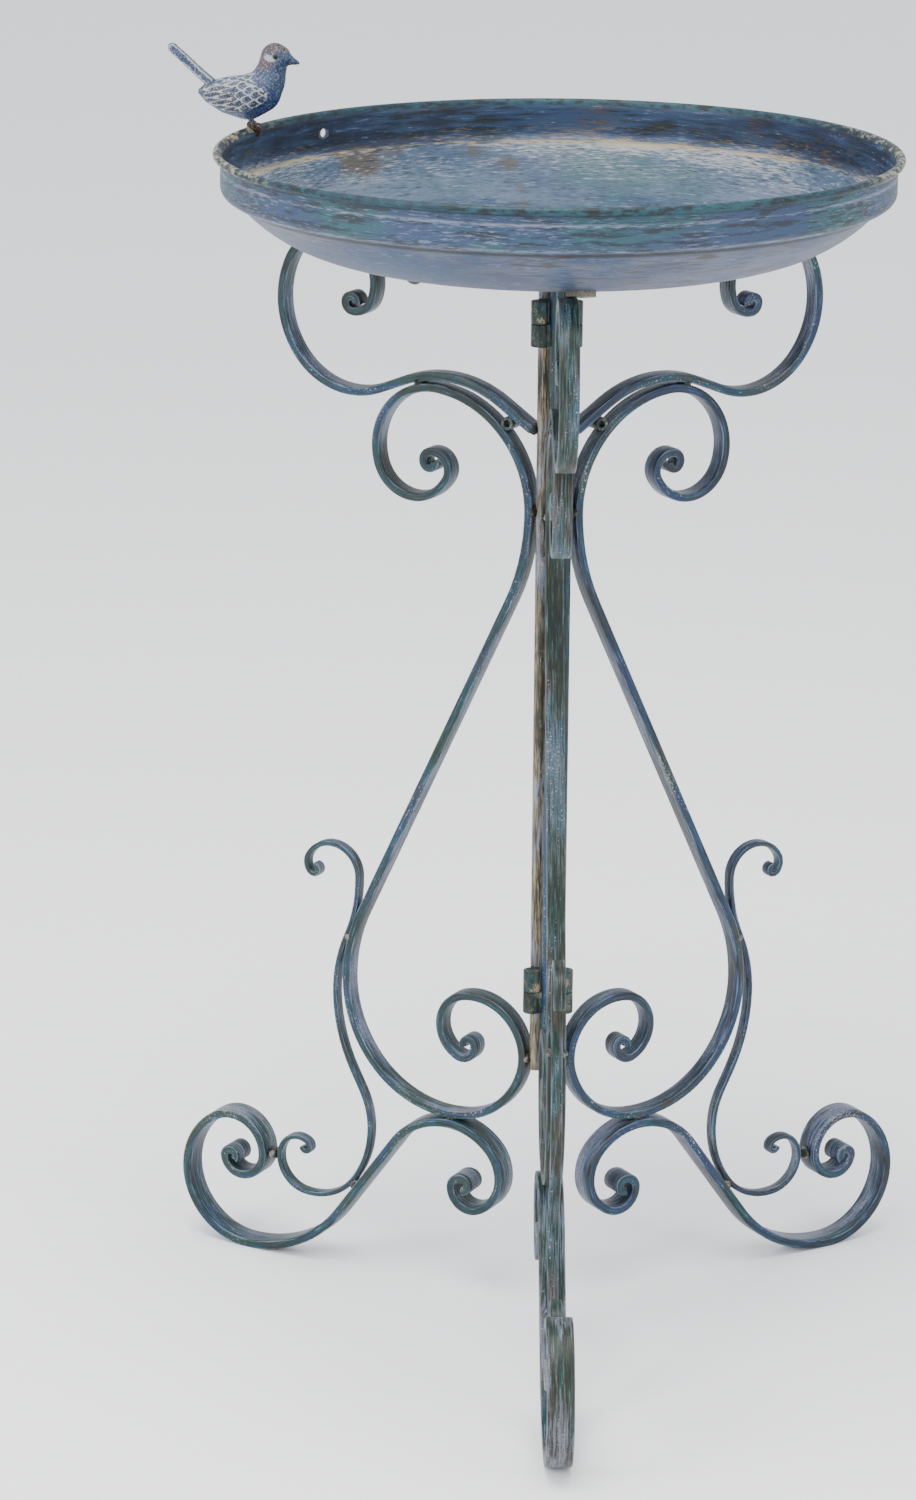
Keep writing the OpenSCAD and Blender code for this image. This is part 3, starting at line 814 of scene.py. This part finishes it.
pad_finish = plain_finish("pad", tint(150, 146, 132), tint(104, 104, 100), 0.45)
stud_finish = cast_finish("stud", TEAL, SEA_GREEN, 0.2)
screw_finish = cast_finish("screw head", tint(176, 166, 140), tint(120, 128, 130), 0.9)
softened("dish_pads", "pads", "dish_body", "pad", pad_finish, 0.0006)
softened("pad_screws", "screws", "dish_body", "iron_dark", screw_finish, 0.0003)
softened("underside_stud", "stud", "dish_body", "iron_scroll", stud_finish, 0.0002)


# ---- Bird ------------------------------------------------------------------
LIP_MIDDLE = DISH_R - LIP_R * MM
BIRD_AZIMUTH = 155
perch_turn = math.radians(BIRD_AZIMUTH)
perch = axis + Vector((LIP_MIDDLE * math.cos(perch_turn), LIP_MIDDLE * math.sin(perch_turn),
                       LIP_TOP))
# Body, neck, head and beak as balls along a line: x, height, radius
SPINE = [(-28.5, 19.0, 2.0), (-22, 18.3, 6.6), (-13, 16.8, 10.4), (-3, 15.8, 12.6),
         (4.5, 18.8, 11.6), (8.8, 25.0, 9.6), (10.8, 31.5, 8.2), (12.6, 38.3, 8.0),
         (15.2, 38.6, 6.4), (18.4, 37.4, 3.9), (21.8, 36.3, 2.4), (25.6, 35.0, 1.0)]
# Tail: x, height, half its width and half its thickness
TAIL = [(-21, 22.0, 3.9, 3.0), (-30, 30.0, 4.0, 2.7), (-38, 37.5, 4.4, 2.7),
        (-44.2, 43.2, 4.6, 2.6)]
BIRD_VOXEL = 0.42 * MM
WELD_VOXEL = 0.3 * MM


def bird_lump():
    """The bird's rough solid, before it is melted together."""
    shape = bmesh.new()

    def ball(x, y, z, rx, ry, rz, tilt=0.0):
        matrix = (Matrix.Translation((x * MM, y * MM, z * MM)) @ Matrix.Rotation(tilt, 4, "Y")
                  @ Matrix.Diagonal((rx * MM, ry * MM, rz * MM, 1)))
        bmesh.ops.create_icosphere(shape, subdivisions=3, radius=1, matrix=matrix)

    for (x0, z0, r0), (x1, z1, r1) in zip(SPINE, SPINE[1:]):
        for i in range(7):
            f = i / 7
            r = r0 + (r1 - r0) * f
            ball(x0 + (x1 - x0) * f, 0, z0 + (z1 - z0) * f, r, r * 0.9, r)
    ball(25.6, 0, 35.0, 1, 0.9, 1)
    for (x0, z0, w0, t0), (x1, z1, w1, t1) in zip(TAIL, TAIL[1:]):
        tilt = math.atan2(z1 - z0, -(x1 - x0))
        for i in range(9):
            f = i / 8
            ball(x0 + (x1 - x0) * f, 0, z0 + (z1 - z0) * f,
                 3.0, w0 + (w1 - w0) * f, t0 + (t1 - t0) * f, tilt)
    for side in (-1, 1):
        for i in range(6):
            ball(-1 + i * 0.15, side * (3.2 + i * 0.1), 5.0 - i * 1.1, 1.5, 1.5, 1.5)
        ball(1.8, side * 3.4, 0.3, 3.2, 1.2, 0.9)
        ball(12.9, side * 6.75, 39.4, 1.25, 0.9, 1.25)
    return mesh_of(shape, "bird")


def feather_cells(back, down, length, width):
    """Height of overlapping round-tipped feathers, and nearness to a feather's rim."""
    height, rim = np.zeros_like(back), np.zeros_like(back)
    taken = np.zeros(back.shape, bool)
    row0 = np.floor(back / length).astype(int)
    for step in (-2, -1, 0, 1):
        row = row0 + step
        offset = 0.5 * (row % 2)
        column = np.round(down / width - offset)
        along = (back - row * length) / (length * 1.5)
        across = (down - (column + offset) * width) / (width * 0.58)
        far = np.sqrt(np.where(along > 0, along, along * 0.6) ** 2 + across ** 2)
        hit = (far < 1) & ~taken
        taken |= hit
        edge = np.clip((far - 0.62) / 0.38, 0, 1)
        shaft = np.exp(-(across / 0.16) ** 2) * (far < 0.75)
        height = np.where(hit, 0.25 + 0.75 * edge - 0.25 * (edge > 0.93) + 0.2 * shaft, height)
        rim = np.where(hit, np.clip(edge * 1.3 + 0.45 * shaft, 0, 1), rim)
    return height, rim


def bird_mesh():
    """The bird's body with modelled feathers, and attributes for its paint."""
    source = add_piece("bird_lump", bird_lump())
    melt = source.modifiers.new("melt", "REMESH")
    melt.mode, melt.voxel_size = "VOXEL", BIRD_VOXEL
    ease = source.modifiers.new("ease", "SMOOTH")
    ease.factor, ease.iterations = 0.6, 9
    made = baked(source, "bird_casting")
    mesh = made.data
    count = len(mesh.vertices)
    co = np.empty(count * 3, np.float32)
    mesh.vertices.foreach_get("co", co)
    co = co.reshape(-1, 3).astype(float) / MM
    normals = np.empty(count * 3, np.float32)
    mesh.vertex_normals.foreach_get("vector", normals)
    normals = normals.reshape(-1, 3).astype(float)
    x, y, z = co.T
    grit = np.array([noise.noise(Vector(p * 0.9)) for p in co])
    fine = np.array([noise.noise(Vector(p * 2.6 + 9)) for p in co])

    def step(v, lo, hi):
        t = np.clip((v - lo) / (hi - lo), 0, 1)
        return t * t * (3 - 2 * t)

    wing_x, wing_z = (x + 11) / 19.5, (z - 17.4 - 0.02 * (x + 11)) / (8.6 - 0.10 * np.abs(x + 8))
    wing_far = np.sqrt(wing_x ** 2 + wing_z ** 2) + 0.04 * grit
    flank = step(np.abs(y), 2.0, 4.5) * step(x, 9.5, 7.5)
    wing = step(wing_far, 1.04, 0.93) * flank
    wing_edge = np.exp(-((wing_far - 0.97) / 0.05) ** 2) * flank
    back = 8 - x
    quill = step(back, 16, 20)
    cover_h, cover_r = feather_cells(back + 0.25 * z, z, 4.1, 4.6)
    quill_h, quill_r = feather_cells(back + 0.9 * (z - 17), z + 0.12 * back, 8.5, 2.9)
    cover_h = cover_h * (1 - quill) + quill_h * quill
    cover_r = cover_r * (1 - quill) + quill_r * quill
    breast = step(x, -2, 6) * (1 - wing) * step(z, 34, 28)
    down_h, down_r = feather_cells(34 - z, np.arctan2(y, x + 3) * 11, 2.4, 2.6)
    mantle = (1 - wing) * step(z, 22, 26) * step(x, 4, 0) * step(x, -24, -18)
    mantle_h, mantle_r = feather_cells(back, y, 4.0, 4.2)
    tail_s = (-(x + 21) + (z - 22)) * 0.7071
    tail = step(tail_s, 1.5, 5.0)
    tail_groove = np.cos(y / 4.4 * math.pi * 3) * 0.5 + 0.5
    tail_r = tail * step(tail_groove + 0.5 * grit, 0.45, 0.8)
    push = (wing * (0.55 + 0.60 * cover_h) + wing_edge * 0.15 + breast * down_h * 0.22
            + mantle * mantle_h * 0.40 + tail * (tail_groove - 0.5) * 0.5 + 0.10 * fine)
    raised = np.clip(wing * cover_r + wing_edge * 0.6 + breast * down_r * 0.5
                     + mantle * mantle_r * 0.9 + tail_r * 0.9, 0, 1)
    co += normals * push[:, None] * np.clip(1 - step(z, 6, 2), 0, 1)[:, None]
    mesh.vertices.foreach_set("co", (co * MM + np.array(perch)).astype(np.float32).ravel())
    throat = step(np.sqrt((x - 6) ** 2 + (z - 36) ** 2), 8.0, 2.0)
    rust = np.clip(step(z, 5.5, 1.0) + throat * 0.7, 0, 1)
    crown = step(z, 40.5, 42.5) * step(x, 2, 6)
    cheek = np.exp(-((x - 9.8) / 3.4) ** 2 - ((z - 38.4 + 0.2 * (x - 9.8)) / 1.9) ** 2)
    cheek *= step(np.abs(y), 2, 5)
    eye = step(np.sqrt((x - 12.9) ** 2 + (z - 39.4) ** 2), 1.7, 1.2) * step(np.abs(y), 4, 6)
    deep = step(z, 26, 12) * step(x, -8, 8) * (1 - wing)
    for name, values in (("raised", raised), ("rust", rust), ("crown", crown), ("cheek", cheek),
                         ("eye", eye), ("deep", deep), ("plume", wing)):
        store(mesh, name, values.astype(np.float32))
    mesh.update()
    return made


def bird_finish():
    """Dry-brushed paint on the bird: pale on raised feathers, dark between them."""
    finish, net = new_finish("bird patina")
    place = net.place()
    raised = net.attribute("raised", FACTOR)
    cloud = net.grain(place, 160.0, 4.0)
    speck = net.grain(place, 900.0, 3.0)
    tiny = net.grain(place, 2600.0, 2.0)
    deep, plume, crown, rust, cheek, eye = [
        net.attribute(name, FACTOR) for name in ("deep", "plume", "crown", "rust", "cheek", "eye")]
    colour = net.coats(
        tint(66, 84, 112),
        (tint(92, 108, 128), cloud.step(0.42, 0.62)),
        (tint(48, 72, 128), deep * 0.85),
        (tint(58, 54, 52), plume * cloud.step(0.40, 0.56) * 0.75),
        (tint(84, 66, 50), crown * 0.9),
        (RUST, rust * (speck * 0.6 + cloud * 0.4).step(0.36, 0.54)),
        (LILAC, (speck * 0.6 + tiny * 0.5).step(0.56, 0.64) * 0.8),
        (CHALK, (raised + (speck - 0.5) * 0.9).step(0.50, 0.85) * 0.92),
        (CHALK, cheek.step(0.25, 0.6) * speck.step(0.30, 0.44)),
        (SOOT, eye))
    close_finish(net, colour, 0.36 + speck * 0.25, speck * 0.5 + tiny * 0.5, 0.0002, coat=0.04)
    return finish


bird = bird_mesh()
smooth(bird.data, 180)
keep(bird, "dish_body", "bird_patina", ["bird"], bird_finish())


def foot_weld():
    """The lumpy weld that holds the bird's feet to the lip."""
    source = add_piece("feet_lump", mesh_of(cad_copy("bird_weld"), "bird_weld"))
    melt = source.modifiers.new("melt", "REMESH")
    melt.mode, melt.voxel_size = "VOXEL", WELD_VOXEL
    made = baked(source, "feet_weld")
    pushes = [vert.normal * noise.noise(vert.co * 420) * 0.9 * MM for vert in made.data.vertices]
    for vert, push in zip(made.data.vertices, pushes):
        vert.co += push
    smooth(made.data, 180)
    return made


keep(foot_weld(), "dish_body", "weld", ["bird_weld"],
     cast_finish("feet weld", RUST, OLIVE, 0.3, 0.8))


# ---- Floor, light and camera -----------------------------------------------
FLOOR_TONE = (0.96, 0.96, 0.97, 1)
FLOOR_HALF = 30.0
AIR_TONE = (0.95, 0.97, 1.0, 1)
AIR_STRENGTH = 1.35


def floor_finish():
    finish, net = new_finish("floor")
    surface = net.node("ShaderNodeBsdfPrincipled", None,
                       {"Base Color": FLOOR_TONE, "Roughness": 0.9})
    net.node("ShaderNodeOutputMaterial", None, {0: surface})
    return finish


mesh = bpy.data.meshes.new("floor")
mesh.from_pydata([(-FLOOR_HALF, -FLOOR_HALF, 0), (FLOOR_HALF, -FLOOR_HALF, 0),
                  (FLOOR_HALF, FLOOR_HALF, 0), (-FLOOR_HALF, FLOOR_HALF, 0)], [], [(0, 1, 2, 3)])
floor = add_piece("floor", mesh)
floor.data.materials.append(floor_finish())

world = bpy.data.worlds.new("studio")
bpy.context.scene.world = world
world.use_nodes = True
air = world.node_tree.nodes["Background"]
air.inputs["Color"].default_value = AIR_TONE
air.inputs["Strength"].default_value = AIR_STRENGTH


def soft_light(name, place, aim, size, power):
    """A round lamp; place and aim in metres, power in watts."""
    lamp = bpy.data.lights.new(name, "AREA")
    lamp.shape, lamp.size, lamp.energy = "DISK", size, power
    holder = bpy.data.objects.new(name, lamp)
    holder.location = place
    holder.rotation_euler = (Vector(aim) - Vector(place)).to_track_quat("-Z", "Y").to_euler()
    bpy.context.scene.collection.objects.link(holder)


soft_light("overhead", (-0.3, -0.6, 2.8), (0, 0, 0.4), 1.8, 78)
soft_light("left_box", (-2.2, -1.4, 1.5), (0, 0, 0.4), 1.2, 44)
soft_light("right_box", (2.0, -1.8, 1.2), (0, 0, 0.4), 1.0, 24)

CAMERA_PLACE = Vector((-0.1013, -2.3986, 1.0729))
CAMERA_YAW, CAMERA_PITCH, CAMERA_ROLL = [math.radians(turn) for turn in (1.15, 16.72, -0.41)]
CAMERA_LENS = 107.45
SENSOR = 36.0
forward = Vector((math.sin(CAMERA_YAW) * math.cos(CAMERA_PITCH),
                  math.cos(CAMERA_YAW) * math.cos(CAMERA_PITCH), -math.sin(CAMERA_PITCH)))
level_right = Vector((math.cos(CAMERA_YAW), -math.sin(CAMERA_YAW), 0))
level_up = level_right.cross(forward)
right = math.cos(CAMERA_ROLL) * level_right - math.sin(CAMERA_ROLL) * level_up
up = math.sin(CAMERA_ROLL) * level_right + math.cos(CAMERA_ROLL) * level_up
lens = bpy.data.cameras.new("camera")
lens.sensor_fit, lens.sensor_height, lens.lens = "VERTICAL", SENSOR, CAMERA_LENS
lens.clip_end = 100
camera = bpy.data.objects.new("camera", lens)
turned = Matrix((right, up, -forward)).transposed().to_4x4()
camera.matrix_world = Matrix.Translation(CAMERA_PLACE) @ turned
bpy.context.scene.collection.objects.link(camera)
bpy.context.scene.camera = camera
